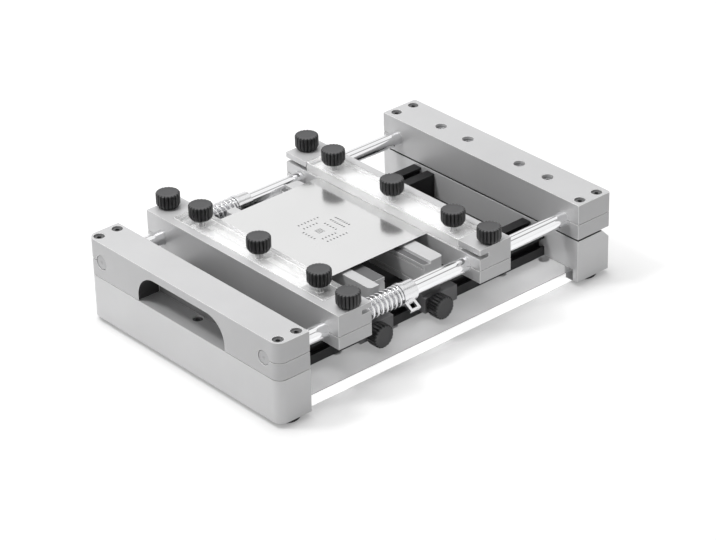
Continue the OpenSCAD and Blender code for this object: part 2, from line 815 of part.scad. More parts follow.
// Each place of the route is [distance along, distance round, angle from the rod's direction]
function first_bend(i) = let (a = i / bend_steps * (90 - lead_angle))
    [wire_d + bend_r * sin(a), bend_r * (1 - cos(a)), a];
bend_end = first_bend(bend_steps);
function winding(i) = let (f = i / wind_steps)
    [bend_end[0] + f * (spring_l - 2 * bend_end[0]), bend_end[1] + f * wound_round, 90 - lead_angle];
function turned(p) = [spring_l - p[0], 2 * bend_end[1] + wound_round - p[1], p[2]];
spring_route = concat(
    [[0, 0, 0]],
    [for (i = [0 : bend_steps - 1]) first_bend(i)],
    [for (i = [0 : wind_steps]) winding(i)],
    [for (i = [bend_steps - 1 : -1 : 0]) turned(first_bend(i))],
    [[spring_l, 2 * bend_end[1] + wound_round, 0]]
);
function rolled(p) = let (a = p[1] / spring_r * 180 / PI) [p[0], spring_r * cos(a), spring_r * sin(a)];
function tube_ring(p) =
    let (
        a = p[1] / spring_r * 180 / PI,
        outward = [0, cos(a), sin(a)],
        round = [0, -sin(a), cos(a)],
        side = cos(p[2]) * round - sin(p[2]) * [1, 0, 0]
    )
    [for (k = [0 : tube_sides - 1]) let (t = full_turn * k / tube_sides)
        rolled(p) + wire_d / 2 * (cos(t) * outward + sin(t) * side)];
rings = len(spring_route);
spring_points = [for (p = spring_route) each tube_ring(p)];
spring_faces = concat(
    [for (i = [0 : rings - 2], k = [0 : tube_sides - 1])
        let (n = (k + 1) % tube_sides, a = i * tube_sides, b = a + tube_sides)
        each [[a + k, b + k, b + n], [a + k, b + n, a + n]]],
    [for (k = [1 : tube_sides - 2]) [0, k, k + 1]],
    [for (k = [1 : tube_sides - 2]) let (a = (rings - 1) * tube_sides) [a, a + k + 1, a + k]]
);
spring_line = [for (p = spring_route) rolled(p)];
self_gap = min([for (i = [0 : rings - 1], k = [i + curl_steps / 2 : 1 : rings - 1])
    norm(spring_line[i] - spring_line[k])]) - wire_d;
echo(least_gap_between_curls = self_gap);

module spring(y) {
    color([0.85, 0.85, 0.86]) translate([spring_x0, y, rod_z]) polyhedron(spring_points, spring_faces);
}

module near_spring() {
    spring(-rod_y);
}

module far_spring() {
    spring(rod_y);
}

// A collar on the near rod, with its ear pointing outward and down
module collar() {
    color([0.82, 0.82, 0.84]) difference() {
        union() {
            along_x(collar_x, collar_x + flange_l, -rod_y, rod_z, flange_d / 2);
            along_x(collar_x, collar_x + collar_l, -rod_y, rod_z, collar_d / 2);
            translate([collar_x, -rod_y, rod_z]) rotate([ear_angle, 0, 0]) difference() {
                span([0, -collar_d / 2 - ear_reach, -ear_t / 2], [ear_l, -rod_r - ear_root, ear_t / 2]);
                translate([ear_l / 2, -collar_d / 2 - ear_reach / 2, -over - ear_t])
                    linear_extrude(2 * ear_t + 2 * over) square(ear_hole, center = true);
            }
        }
        along_x(collar_x - over, collar_x + collar_l + over, -rod_y, rod_z, rod_r + running_gap);
    }
}

module near_collar() {
    collar();
}

module far_collar() {
    mirror([0, 1, 0]) collar();
}

// Where a holder reaches under a rod, its end is lower, so that the frame can lift
module rod_rebate(l) {
    span([-over, rod_y - spring_d / 2 - rod_room, rod_z - spring_d / 2 - rod_room],
        [l + over, holder_w, holder_top + over]);
}

module holder_groove(drop) {
    span([-over, -holder_w, ledge_z - drop - side_groove_h], [relief, holder_w, ledge_z - drop]);
}

// A board holder with its inner side at x = 0 and its land towards positive x
module holder(l, ledge) {
    color([0.75, 0.76, 0.77]) difference() {
        union() {
            translate([0, -holder_w / 2, holder_z]) linear_extrude(holder_h)
                rounded_plan(l, holder_w, holder_round);
            for (side = [-1, 1]) translate([ledge, side * rail_mid, 0])
                span([0, key_gap - slot_mouth / 2, holder_z - key_h],
                    [l - ledge, slot_mouth / 2 - key_gap, holder_z + over]);
        }
        span([-over, -holder_w, ledge_z], [ledge, holder_w, holder_top + over]);
        span([ledge - relief, -holder_w, ledge_z - relief], [ledge, holder_w, holder_top]);
        holder_groove(upper_groove_drop);
        holder_groove(lower_groove_drop);
        for (side = [0, 1]) mirror([0, side, 0]) rod_rebate(l);
    }
}

module rail_stud_hole(x) {
    along_y(x, -half_w, -rail_in, side_slot_z, stud_r + running_gap);
}

// A clamp block hangs from the near end of a holder, beside the rail
module clamp_block(x0, x1, neck_x0, neck_x1, knob_x) {
    color([0.35, 0.35, 0.37]) difference() {
        union() {
            span([x0, -clamp_y - clamp_t, clamp_z], [x1, -clamp_y, clamp_z + clamp_h]);
            span([neck_x0, -neck_end, clamp_z], [neck_x1, -clamp_y, holder_z]);
        }
        rail_stud_hole(knob_x);
    }
}

// A nut in the side slot of the near rail, with a boss through the slot's mouth
module slot_nut(x) {
    color([0.6, 0.6, 0.62]) difference() {
        union() {
            span([x - nut_l / 2, slot_lip + nut_gap - rail_out, side_slot_z + nut_gap - slot_w / 2],
                [x + nut_l / 2, slot_depth - nut_gap - rail_out, side_slot_z - nut_gap + slot_w / 2]);
            span([x - nut_l / 2, -clamp_y, side_slot_z + nut_gap - slot_mouth / 2],
                [x + nut_l / 2, slot_depth - nut_gap - rail_out, side_slot_z - nut_gap + slot_mouth / 2]);
        }
        rail_stud_hole(x);
    }
}

// The left ledge ends before the clamp block, which hangs from the land alone
module left_holder() {
    translate([left_holder_x, 0, 0]) mirror([1, 0, 0]) difference() {
        holder(left_holder_l, left_ledge_l);
        for (side = [0, 1]) mirror([0, side, 0])
            span([-over, holder_w / 2 - ledge_end_in, holder_z - over],
                [left_ledge_l, holder_w, holder_top]);
    }
}

module left_clamp_block() {
    clamp_block(left_clamp_x, left_holder_x, left_holder_x - left_holder_l, left_holder_x - left_ledge_l,
        left_rail_knob_x);
}

module left_slot_nut() {
    slot_nut(left_rail_knob_x);
}

module right_holder() {
    translate([right_holder_x, 0, 0]) holder(holder_l, ledge_l);
}

module right_clamp_block() {
    clamp_block(right_holder_x, right_holder_x + clamp_l, right_holder_x, right_holder_x + holder_l,
        right_rail_knob_x);
}

module right_slot_nut() {
    slot_nut(right_rail_knob_x);
}

// Half of a knob's section: a tapered foot, a straight side and a round upper edge
knob_outline = concat(
    [[0, 0], [knob_foot_r, 0], [knob_r, knob_taper_h]],
    [for (i = [0 : edge_steps]) let (a = 90 * i / edge_steps)
        [knob_r - knob_edge_r * (1 - cos(a)), knob_h - knob_edge_r * (1 - sin(a))]],
    [[0, knob_h]]
);

// A fluted knob that stands on z = 0, with a stud under it and a boss if boss_l is above 0
module knob(stud_l, boss_l) {
    difference() {
        rotate_extrude() polygon(knob_outline);
        for (i = [0 : flutes - 1]) rotate(full_turn * i / flutes) translate([knob_r + flute_out, 0, -over])
            cylinder(h = knob_h + 2 * over, r = flute_r, $fn = 16);
    }
    translate([0, 0, -boss_l]) cylinder(h = boss_l + over, r = boss_d / 2);
    translate([0, 0, -stud_l]) cylinder(h = stud_l + over, r = stud_r);
}

module grip_knob(x, side) {
    color([0.22, 0.22, 0.24]) translate([x, side * grip_y, bar_top + knob_gap])
        knob(grip_stud_l + knob_gap, 0);
}

module strip_knob(x, y, strip_top, floor_z) {
    color([0.22, 0.22, 0.24]) translate([x, y, strip_top + knob_gap + boss_h])
        knob(strip_top - floor_z + knob_gap + boss_h + strip_stud_in, boss_h);
}

module left_strip_knob(y) {
    strip_knob(left_strip_x, y, left_strip_z + strip_t, left_strip_z);
}

module right_strip_knob(y) {
    strip_knob(right_strip_x, y, foil_top + strip_t, seat_z);
}

module rail_knob(x) {
    color([0.22, 0.22, 0.24]) translate([x, -clamp_y - clamp_t - knob_gap, side_slot_z]) rotate([90, 0, 0])
        knob(clamp_t + knob_gap + slot_depth - nut_gap, 0);
}

module left_near_grip_knob() {
    grip_knob(left_bar_x, -1);
}

module left_far_grip_knob() {
    grip_knob(left_bar_x, 1);
}

module right_near_grip_knob() {
    grip_knob(right_bar_x, -1);
}

module right_far_grip_knob() {
    grip_knob(right_bar_x, 1);
}

module left_near_strip_knob() {
    left_strip_knob(-strip_knob_y);
}

module left_middle_strip_knob() {
    left_strip_knob(0);
}

module left_far_strip_knob() {
    left_strip_knob(strip_knob_y);
}

module right_near_strip_knob() {
    right_strip_knob(-strip_knob_y);
}

module right_middle_strip_knob() {
    right_strip_knob(0);
}

module right_far_strip_knob() {
    right_strip_knob(strip_knob_y);
}

module left_rail_knob() {
    rail_knob(left_rail_knob_x);
}

module right_rail_knob() {
    rail_knob(right_rail_knob_x);
}

base_plate();
lower_left_block();
lower_right_block();
near_rail();
far_rail();
bed_plate();
feet();
foot_screws();
rail_screws();
tongue_screws();
recess_screw();
lower_hinge_leaves();
hinge_pins();
lower_leaf_screws();
handle_bar();
hinge_bar();
near_rod();
far_rod();
handle_screws();
hinge_bar_screws();
upper_hinge_leaves();
upper_leaf_screws();
left_bar();
left_strip();
right_bar();
right_strip();
stencil_foil();
near_collar();
near_spring();
far_collar();
far_spring();
left_holder();
left_clamp_block();
left_slot_nut();
right_holder();
right_clamp_block();
right_slot_nut();
left_near_grip_knob();
left_far_grip_knob();
right_near_grip_knob();
right_far_grip_knob();
left_near_strip_knob();
left_middle_strip_knob();
left_far_strip_knob();
right_near_strip_knob();
right_middle_strip_knob();
right_far_strip_knob();
left_rail_knob();
right_rail_knob();
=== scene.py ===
"""Dresses the tabletop screen printing press: eased machined parts, turned knobs and rods, wound springs,
clear strips, and the studio that shows them."""

from __future__ import annotations

import json
import logging
import math
from dataclasses import dataclass, field
from enum import Enum
from typing import Iterable

import bmesh
import bpy
from mathutils import Matrix, Vector

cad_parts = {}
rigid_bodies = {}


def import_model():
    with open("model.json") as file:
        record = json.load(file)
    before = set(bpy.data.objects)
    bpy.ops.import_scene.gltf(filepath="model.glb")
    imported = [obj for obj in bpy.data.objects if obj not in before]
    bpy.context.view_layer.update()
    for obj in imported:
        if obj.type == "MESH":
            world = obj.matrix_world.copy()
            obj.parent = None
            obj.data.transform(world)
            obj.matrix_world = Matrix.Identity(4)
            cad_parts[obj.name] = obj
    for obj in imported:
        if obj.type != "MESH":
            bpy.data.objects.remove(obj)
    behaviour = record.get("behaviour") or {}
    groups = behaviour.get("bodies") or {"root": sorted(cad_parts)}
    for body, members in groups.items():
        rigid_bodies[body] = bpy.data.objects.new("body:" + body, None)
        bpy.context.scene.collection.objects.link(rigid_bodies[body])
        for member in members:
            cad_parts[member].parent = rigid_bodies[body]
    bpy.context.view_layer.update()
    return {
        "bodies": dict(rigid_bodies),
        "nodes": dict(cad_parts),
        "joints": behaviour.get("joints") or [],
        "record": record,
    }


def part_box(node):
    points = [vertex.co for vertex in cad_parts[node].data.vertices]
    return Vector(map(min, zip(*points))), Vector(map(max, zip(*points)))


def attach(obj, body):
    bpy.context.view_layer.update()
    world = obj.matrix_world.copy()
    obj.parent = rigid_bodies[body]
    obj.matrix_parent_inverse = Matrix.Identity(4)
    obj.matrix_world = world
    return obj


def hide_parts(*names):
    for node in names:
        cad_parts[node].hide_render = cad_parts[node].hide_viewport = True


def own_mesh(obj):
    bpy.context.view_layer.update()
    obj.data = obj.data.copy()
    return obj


LOG = logging.getLogger("screen_press")

# A millimetre in metres, and the distances under which two places of a mesh are one.
MM = 0.001
WELD = 0.001 * MM
LATHE_WELD = 0.0005 * MM

# Angles between two faces: they are shaded as one below the first, the edge between them is eased above the
# second, and they become one flat face below the third.
SMOOTH_UNDER = math.radians(32)
EASED_OVER = math.radians(28)
FLAT_UNDER = math.radians(0.4)

Colour = tuple[float, float, float]
Point = tuple[float, float, float]
Spot = tuple[float, float]
Socket = bpy.types.NodeSocket


class Way(Enum):
    """The way a turned piece points."""

    UP = "up"
    NEAR = "near"
    ALONG = "along"

    def turn(self) -> Matrix:
        """Give the turn that brings a piece made along +Z this way.

        Returns:
            The turn.
        """
        if self is Way.NEAR:
            return Matrix.Rotation(math.radians(90), 4, "X")
        if self is Way.ALONG:
            return Matrix.Rotation(math.radians(90), 4, "Y")
        return Matrix.Identity(4)


class Nodes:
    """A node tree with short calls that add and join nodes."""

    def __init__(self, tree: bpy.types.NodeTree) -> None:
        """Start on a tree.

        Args:
            tree: The tree that gets the nodes.
        """
        self.tree = tree

    def add(self, kind: str, **settings: object) -> bpy.types.Node:
        """Add a node.

        Args:
            kind: The node's Blender type.
            settings: Properties of the node.

        Returns:
            The new node.
        """
        node = self.tree.nodes.new(kind)
        for name, value in settings.items():
            setattr(node, name, value)
        return node

    def join(self, source: Socket, target: Socket) -> None:
        """Join an output to an input."""
        self.tree.links.new(source, target)

    def maths(self, operation: str, *values: Socket | float) -> Socket:
        """Add a Math node.

        Args:
            operation: The node's operation.
            values: Its values in turn, each a socket or a number.

        Returns:
            The result's socket.
        """
        node = self.add("ShaderNodeMath", operation=operation)
        for socket, value in zip(node.inputs, values):
            if isinstance(value, Socket):
                self.join(value, socket)
            else:
                socket.default_value = value
        return node.outputs[0]

    def noise(self, place: Socket, scale: Socket, detail: float) -> Socket:
        """Add a noise.

        Args:
            place: Where it is read.
            scale: Its scale.
            detail: Its detail.

        Returns:
            The noise's socket, from 0 to 1.
        """
        node = self.add("ShaderNodeTexNoise")
        node.inputs["Detail"].default_value = detail
        self.join(place, node.inputs["Vector"])
        self.join(scale, node.inputs["Scale"])
        return node.outputs["Fac"]


def show(name: str, data: bpy.types.ID) -> bpy.types.Object:
    """Put an object into the scene.

    Args:
        name: The object's name.
        data: Its mesh, lamp or camera.

    Returns:
        The object.
    """
    obj = bpy.data.objects.new(name, data)
    bpy.context.scene.collection.objects.link(obj)
    return obj


def fresh_material(name: str) -> tuple[bpy.types.Material, Nodes]:
    """Start a material.

    Args:
        name: The material's name.

    Returns:
        The material and its nodes, with the Principled BSDF and the output in place.
    """
    material = bpy.data.materials.new(name)
    material.use_nodes = True
    return material, Nodes(material.node_tree)


def shader_group(name: str, inputs: dict[str, tuple[str, object]], outputs: dict[str, str]) -> Nodes:
    """Start a shader node group.

    Args:
        name: The group's name.
        inputs: Each input's name, with its kind and value.
        outputs: Each output's name, with its kind.

    Returns:
        The group's nodes, with its input and output nodes in place.
    """
    tree = bpy.data.node_groups.new(name, "ShaderNodeTree")
    for label, (kind, value) in inputs.items():
        socket = tree.interface.new_socket(label, in_out="INPUT", socket_type=f"NodeSocket{kind}")
        if value is not None:
            socket.default_value = value
    for label, kind in outputs.items():
        tree.interface.new_socket(label, in_out="OUTPUT", socket_type=f"NodeSocket{kind}")
    nodes = Nodes(tree)
    nodes.add("NodeGroupInput", name="given")
    nodes.add("NodeGroupOutput", name="result")
    return nodes


class Effects:
    """The effects that several finishes share, each a node group that is made once.

    Heights are the relief's at full depth, in metres.
    """

    GRAIN_HEIGHT: float = 0.05 * MM
    GRAIN_DETAIL: float = 2.0
    TONE_DETAIL: float = 5.0
    TONE_GAIN: float = 4.0
    BRUSH_HEIGHT: float = 0.02 * MM
    BRUSH_DETAIL: float = 3.0
    BRUSH_STRETCH: Point = (0.01, 1.0, 1.0)

    def __init__(self) -> None:
        """Make the groups."""
        self.grain = self.make_grain()
        self.tone = self.make_tone()
        self.brushing = self.make_brushing()

    @staticmethod
    def change(nodes: Nodes, noise: Socket, amount: Socket) -> Socket:
        """Give a noise's change about its middle.

        Args:
            nodes: The group's nodes.
            noise: The noise, from 0 to 1.
            amount: The whole change.

        Returns:
            The change, half of it either way.
        """
        return nodes.maths("MULTIPLY", nodes.maths("SUBTRACT", noise, 0.5), amount)

    def relief(self, nodes: Nodes, noise: Socket, height: float) -> None:
        """Turn a noise into a group's roughness and normal.

        Args:
            nodes: The group's nodes.
            noise: The noise, from 0 to 1.
            height: The relief's height at full depth, in metres.
        """
        given, result = nodes.tree.nodes["given"], nodes.tree.nodes["result"]
        change = self.change(nodes, noise, given.outputs["Spread"])
        nodes.join(nodes.maths("ADD", change, given.outputs["Roughness"]), result.inputs["Roughness"])
        bump = nodes.add("ShaderNodeBump")
        bump.inputs["Distance"].default_value = height
        nodes.join(given.outputs["Depth"], bump.inputs["Strength"])
        nodes.join(noise, bump.inputs["Height"])
        nodes.join(bump.outputs["Normal"], result.inputs["Normal"])

    def make_grain(self) -> bpy.types.NodeTree:
        """Make the fine grain that blasting or moulding leaves.

        Returns:
            A group that gives a roughness and a normal.
        """
        nodes = shader_group(
            "fine_grain",
            {"Vector": ("Vector", None), "Scale": ("Float", 3000.0), "Depth": ("Float", 0.2),
             "Roughness": ("Float", 0.4), "Spread": ("Float", 0.1)},
            {"Roughness": "Float", "Normal": "Vector"},
        )
        given = nodes.tree.nodes["given"]
        noise = nodes.noise(given.outputs["Vector"], given.outputs["Scale"], self.GRAIN_DETAIL)
        self.relief(nodes, noise, self.GRAIN_HEIGHT)
        return nodes.tree

    def make_tone(self) -> bpy.types.NodeTree:
        """Make the slow changes of tone from handling and finishing.

        Returns:
            A group that gives a colour.
        """
        nodes = shader_group(
            "soft_tone",
            {"Vector": ("Vector", None), "Scale": ("Float", 18.0), "Amount": ("Float", 0.05),
             "Colour": ("Color", (0.5, 0.5, 0.5, 1.0))},
            {"Colour": "Color"},
        )
        given, result = nodes.tree.nodes["given"], nodes.tree.nodes["result"]
        noise = nodes.noise(given.outputs["Vector"], given.outputs["Scale"], self.TONE_DETAIL)
        change = self.change(nodes, noise, given.outputs["Amount"])
        shade = nodes.add("ShaderNodeHueSaturation")
        nodes.join(nodes.maths("MULTIPLY_ADD", change, self.TONE_GAIN, 1.0), shade.inputs["Value"])
        nodes.join(given.outputs["Colour"], shade.inputs["Color"])
        nodes.join(shade.outputs["Color"], result.inputs["Colour"])
        return nodes.tree

    def make_brushing(self) -> bpy.types.NodeTree:
        """Make the fine lines along X that rolling, drawing or brushing leaves.

        Returns:
            A group that gives a roughness and a normal.
        """
        nodes = shader_group(
            "brushing",
            {"Vector": ("Vector", None), "Fineness": ("Float", 2500.0), "Depth": ("Float", 0.1),
             "Roughness": ("Float", 0.25), "Spread": ("Float", 0.1)},
            {"Roughness": "Float", "Normal": "Vector"},
        )
        given = nodes.tree.nodes["given"]
        stretch = nodes.add("ShaderNodeMapping")
        stretch.inputs["Scale"].default_value = self.BRUSH_STRETCH
        nodes.join(given.outputs["Vector"], stretch.inputs["Vector"])
        noise = nodes.noise(stretch.outputs["Vector"], given.outputs["Fineness"], self.BRUSH_DETAIL)
        self.relief(nodes, noise, self.BRUSH_HEIGHT)
        return nodes.tree


class Texture(Enum):
    """The kind of fine texture that a finish has."""

    GRAIN = "grain"
    BRUSHED = "brushed"


@dataclass(frozen=True)
class Finish:
    """An opaque finish. Colour is in linear light; fineness is per metre."""

    name: str
    colour: Colour
    metallic: float
    roughness: float
    texture: Texture = Texture.GRAIN
    fineness: float = 3000.0
    depth: float = 0.2
    spread: float = 0.1
    tone: float = 0.04

    def material(self, effects: Effects) -> bpy.types.Material:
        """Make the finish's material.

        Args:
            effects: The shared node groups.

        Returns:
            The material.
        """
        material, nodes = fresh_material(self.name)
        shader = nodes.tree.nodes["Principled BSDF"]
        place = nodes.add("ShaderNodeTexCoord")
        tone = nodes.add("ShaderNodeGroup", node_tree=effects.tone)
        tone.inputs["Colour"].default_value = (*self.colour, 1.0)
        tone.inputs["Amount"].default_value = self.tone
        brushed = self.texture is Texture.BRUSHED
        fine = nodes.add("ShaderNodeGroup", node_tree=effects.brushing if brushed else effects.grain)
        fine.inputs["Fineness" if brushed else "Scale"].default_value = self.fineness
        fine.inputs["Depth"].default_value = self.depth
        fine.inputs["Roughness"].default_value = self.roughness
        fine.inputs["Spread"].default_value = self.spread
        for group in (tone, fine):
            nodes.join(place.outputs["Object"], group.inputs["Vector"])
        nodes.join(tone.outputs["Colour"], shader.inputs["Base Color"])
        nodes.join(fine.outputs["Roughness"], shader.inputs["Roughness"])
        nodes.join(fine.outputs["Normal"], shader.inputs["Normal"])
        shader.inputs["Metallic"].default_value = self.metallic
        return material


@dataclass(frozen=True)
class ClearFinish:
    """Clear plastic. Shade is the share of the lamps' light that its shadow lets through."""

    name: str
    colour: Colour
    roughness: float = 0.02
    ior: float = 1.25
    shade: float = 0.92
    clearness: float = 1.0
    coat: float = 0.0
    wave_scale: float = 60.0
    wave_depth: float = 0.02

    def material(self, effects: Effects) -> bpy.types.Material:
        """Make the clear material.

        Args:
            effects: The shared node groups.

        Returns:
            The material.
        """
        material, nodes = fresh_material(self.name)
        shader, output = nodes.tree.nodes["Principled BSDF"], nodes.tree.nodes["Material Output"]
        shader.inputs["Base Color"].default_value = (*self.colour, 1.0)
        shader.inputs["Transmission Weight"].default_value = self.clearness
        shader.inputs["Coat Weight"].default_value = self.coat
        shader.inputs["IOR"].default_value = self.ior
        place = nodes.add("ShaderNodeTexCoord")
        fine = nodes.add("ShaderNodeGroup", node_tree=effects.grain)
        fine.inputs["Scale"].default_value = self.wave_scale
        fine.inputs["Depth"].default_value = self.wave_depth
        fine.inputs["Roughness"].default_value = self.roughness
        fine.inputs["Spread"].default_value = self.roughness
        nodes.join(place.outputs["Object"], fine.inputs["Vector"])
        nodes.join(fine.outputs["Roughness"], shader.inputs["Roughness"])
        nodes.join(fine.outputs["Normal"], shader.inputs["Normal"])
        path = nodes.add("ShaderNodeLightPath")
        through = nodes.add("ShaderNodeBsdfTransparent")
        through.inputs["Color"].default_value = (self.shade, self.shade, self.shade, 1.0)
        mix = nodes.add("ShaderNodeMixShader")
        nodes.join(path.outputs["Is Shadow Ray"], mix.inputs["Fac"])
        nodes.join(shader.outputs["BSDF"], mix.inputs[1])
        nodes.join(through.outputs["BSDF"], mix.inputs[2])
        nodes.join(mix.outputs["Shader"], output.inputs["Surface"])
        return material


@dataclass(frozen=True)
class Finishes:
    """Every finish on the press."""

    frame: Finish = Finish("satin_frame", (0.6, 0.6, 0.605), 0.2, 0.42, depth=0.25, spread=0.12)
    # Lighter than the frame: painted floor light on the lower blocks.
    block: Finish = Finish("satin_block_painted_floor_light", (0.74, 0.74, 0.745), 0.2, 0.4, depth=0.25, spread=0.12)
    # Painted shade: the lower right block's top is dark where it lies in the gap under the hinge bar.
    block_top: Finish = Finish("block_top_painted_gap_shade", (0.12, 0.12, 0.122), 0.2, 0.45, Texture.BRUSHED)
    # Painted shade: the lower left block's top is darker where it floors the hand recess.
    recess_floor: Finish = Finish("painted_shade_recess_floor", (0.58, 0.58, 0.585), 0.2, 0.45, Texture.BRUSHED)
    recess_end: Finish = Finish("shaded_recess_end", (0.05, 0.05, 0.051), 0.2, 0.5, Texture.BRUSHED)
    bar_side: Finish = Finish("satin_bar_side", (0.64, 0.64, 0.645), 0.45, 0.42, depth=0.25, spread=0.08)
    # Painted shade: darker walls and ceiling inside the hand recess.
    recess: Finish = Finish("painted_shade_recess", (0.28, 0.28, 0.283), 0.2, 0.5, Texture.BRUSHED)
    # Lighter than the faces: painted highlight along the eased edges.
    eased_edge: Finish = Finish("eased_edge_painted_highlight", (0.78, 0.78, 0.78), 0.4, 0.3, depth=0.1)
    holder: Finish = Finish("satin_holder", (0.62, 0.62, 0.625), 0.2, 0.4, Texture.BRUSHED)
    ledge: Finish = Finish("dull_ledge", (0.14, 0.14, 0.143), 0.2, 0.5, Texture.BRUSHED)
    rail: Finish = Finish("black_rail", (0.012, 0.012, 0.013), 0.2, 0.42, Texture.BRUSHED, depth=0.15,
                          tone=0.1)
    # Lighter than the black parts: painted highlight along their eased edges.
    rail_edge: Finish = Finish("black_rail_edge_painted_highlight", (0.06, 0.06, 0.062), 0.4, 0.35)
    bed: Finish = Finish("black_bed", (0.014, 0.014, 0.015), 0.2, 0.5, tone=0.1)
    clamp_block: Finish = Finish("dark_clamp_block", (0.17, 0.17, 0.174), 0.2, 0.42)
    chrome: Finish = Finish("polished_rod", (0.9, 0.9, 0.91), 1.0, 0.05, Texture.BRUSHED, spread=0.03,
                            tone=0.01)
    rod_end: Finish = Finish("faced_rod_end", (0.5, 0.5, 0.505), 0.3, 0.4)
    spring: Finish = Finish("bright_wire", (0.82, 0.82, 0.83), 1.0, 0.14, spread=0.05)
    collar: Finish = Finish("turned_collar", (0.82, 0.82, 0.83), 1.0, 0.2, spread=0.06)
    hinge: Finish = Finish("satin_hinge", (0.62, 0.62, 0.63), 1.0, 0.32, Texture.BRUSHED)
    screw: Finish = Finish("bright_screw", (0.6, 0.6, 0.61), 1.0, 0.3)
    dark_screw: Finish = Finish("dull_screw", (0.15, 0.15, 0.152), 0.6, 0.38)
    foil: Finish = Finish("rolled_foil", (0.77, 0.77, 0.77), 0.82, 0.15, Texture.BRUSHED, spread=0.06,
                          tone=0.015)
    knob: Finish = Finish("moulded_knob", (0.014, 0.014, 0.015), 0.0, 0.38, fineness=2200.0, depth=0.5,
                          tone=0.08)
    # Lighter than the knob's sides: painted sheen on the knob tops.
    knob_top: Finish = Finish("dull_knob_top", (0.075, 0.075, 0.077), 0.0, 0.6, fineness=2200.0, depth=0.5,
                              tone=0.05)
    rubber: Finish = Finish("rubber_foot", (0.012, 0.012, 0.012), 0.0, 0.75, fineness=1500.0, depth=0.5)
    # Partly white: painted reflection that brightens the clear strips.
    clear: ClearFinish = ClearFinish("clear_strip_painted_reflection", (1.0, 1.0, 1.0), shade=1.0, clearness=0.78)
    clear_side: ClearFinish = ClearFinish("sawn_strip_side", (1.0, 1.0, 1.0), 0.12, shade=1.0, clearness=0.45)
    clear_edge: ClearFinish = ClearFinish("polished_strip_edge", (1.0, 1.0, 1.0), 0.3, clearness=0.3)
    plate: ClearFinish = ClearFinish("clear_plate", (1.0, 1.0, 1.0), 0.01, ior=1.06, shade=1.0)
    # Grey and partly opaque: painted shade of the floor seen under the plate.
    plate_top: ClearFinish = ClearFinish("plate_top_painted_shade", (0.58, 0.58, 0.585), 0.15, ior=1.06, shade=0.95,
                                         clearness=0.45, coat=0.5)
    # Grey eased rims: painted shade that carries on the plate top's grey.
    plate_edge: ClearFinish = ClearFinish("plate_edge_painted_shade", (0.5, 0.5, 0.505), 0.3, ior=1.06, clearness=0.2)


@dataclass(frozen=True)
class Patch:
    """A finish of its own for some faces of a piece: those in a box that point one of some ways.

    The box is in millimetres. A patch with no ways takes every face in its box. Lean is the least share of a
    face's normal that has to point a way.
    """

    finish: Finish | ClearFinish
    ways: tuple[Point, ...] = ()
    low: Point = (-math.inf, -math.inf, -math.inf)
    high: Point = (math.inf, math.inf, math.inf)
    lean: float = 0.95

    def fits(self, face: bmesh.types.BMFace) -> bool:
        """Say whether a face belongs to the patch.

        Args:
            face: A face, in place.

        Returns:
            True where it does.
        """
        place = face.calc_center_median() / MM
        within = all(low <= at <= high for low, at, high in zip(self.low, place, self.high))
        turned = any(face.normal.dot(Vector(way)) > self.lean for way in self.ways)
        return within and (turned or not self.ways)


class Workshop:
    """Makes materials once and turns bmeshes into finished pieces."""

    def __init__(self, frame: dict) -> None:
        """Start on a loaded frame.
        """
        self.nodes: dict[str, bpy.types.Object] = frame["nodes"]
        self.body_of: dict[str, str] = {
            node: body for body, members in frame["record"]["behaviour"]["bodies"].items() for node in members
        }
        self.slot_of: dict[str, str] = {
            part["node"]: part["material_slot"] for part in frame["record"]["subparts"]
        }
        self.effects = Effects()
        self.made: dict[str, bpy.types.Material] = {}

    def material(self, finish: Finish | ClearFinish) -> bpy.types.Material:
        """Give a finish's material, made at its first use.

        Args:
            finish: The finish.

        Returns:
            Its material.
        """
        if finish.name not in self.made:
            self.made[finish.name] = finish.material(self.effects)
        return self.made[finish.name]

    def piece(self, name: str, bm: bmesh.types.BMesh, finishes: Iterable[Finish | ClearFinish],
              node: str, stands_for: bool = True) -> bpy.types.Object:
        """Make a piece that belongs to a node of the frame.

        Args:
            name: The piece's name.
            bm: Its shape, in place; it is freed.
            finishes: Its finishes, in the order of their material numbers.
            node: The node that it belongs to.
            stands_for: True where the piece replaces the node.

        Returns:
            The piece.
        """
        mesh = bpy.data.meshes.new(name)
        bm.to_mesh(mesh)
        bm.free()
        for finish in finishes:
            mesh.materials.append(self.material(finish))
        mesh.polygons.foreach_set("use_smooth", [True] * len(mesh.polygons))
        mesh.set_sharp_from_angle(angle=SMOOTH_UNDER)
        obj = show(name, mesh)
        flatten = obj.modifiers.new("flat_faces", "WEIGHTED_NORMAL")
        flatten.keep_sharp = True
        flatten.weight = 100
        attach(obj, self.body_of[node])
        if stands_for:
            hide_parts(node)
        LOG.info("%s: %d faces on %s", name, len(mesh.polygons), self.body_of[node])
        return obj

    def eased(self, node: str, finish: Finish | ClearFinish, rim: Finish | ClearFinish,
              ease_mm: float, patches: tuple[Patch, ...] = ()) -> bpy.types.Object:
        """Make a copy of a node with its sharp edges eased.

        Args:
            node: The node.
            finish: The finish of its faces.
            rim: The finish of its eased edges.
            ease_mm: Width of the eased edge, in millimetres.
            patches: Faces that have a finish of their own.

        Returns:
            The piece that replaces the node.
        """
        bm = bmesh.new()
        bm.from_mesh(self.nodes[node].data)
        bmesh.ops.remove_doubles(bm, verts=bm.verts, dist=WELD)
        bmesh.ops.dissolve_limit(bm, angle_limit=FLAT_UNDER, verts=bm.verts, edges=bm.edges)
        sharp = [edge for edge in bm.edges if edge.is_manifold and edge.calc_face_angle() > EASED_OVER]
        bm.normal_update()
        for face in bm.faces:
            face.material_index = next((i for i, patch in enumerate(patches, 2) if patch.fits(face)), 0)
        eased = bmesh.ops.bevel(bm, geom=sharp, offset=ease_mm * MM, offset_type="OFFSET", segments=2,
                                profile=0.5, affect="EDGES", clamp_overlap=False, material=-1)
        for face in eased["faces"]:
            face.material_index = 1
        return self.piece(f"eased_{node}", bm, (finish, rim, *(patch.finish for patch in patches)), node)


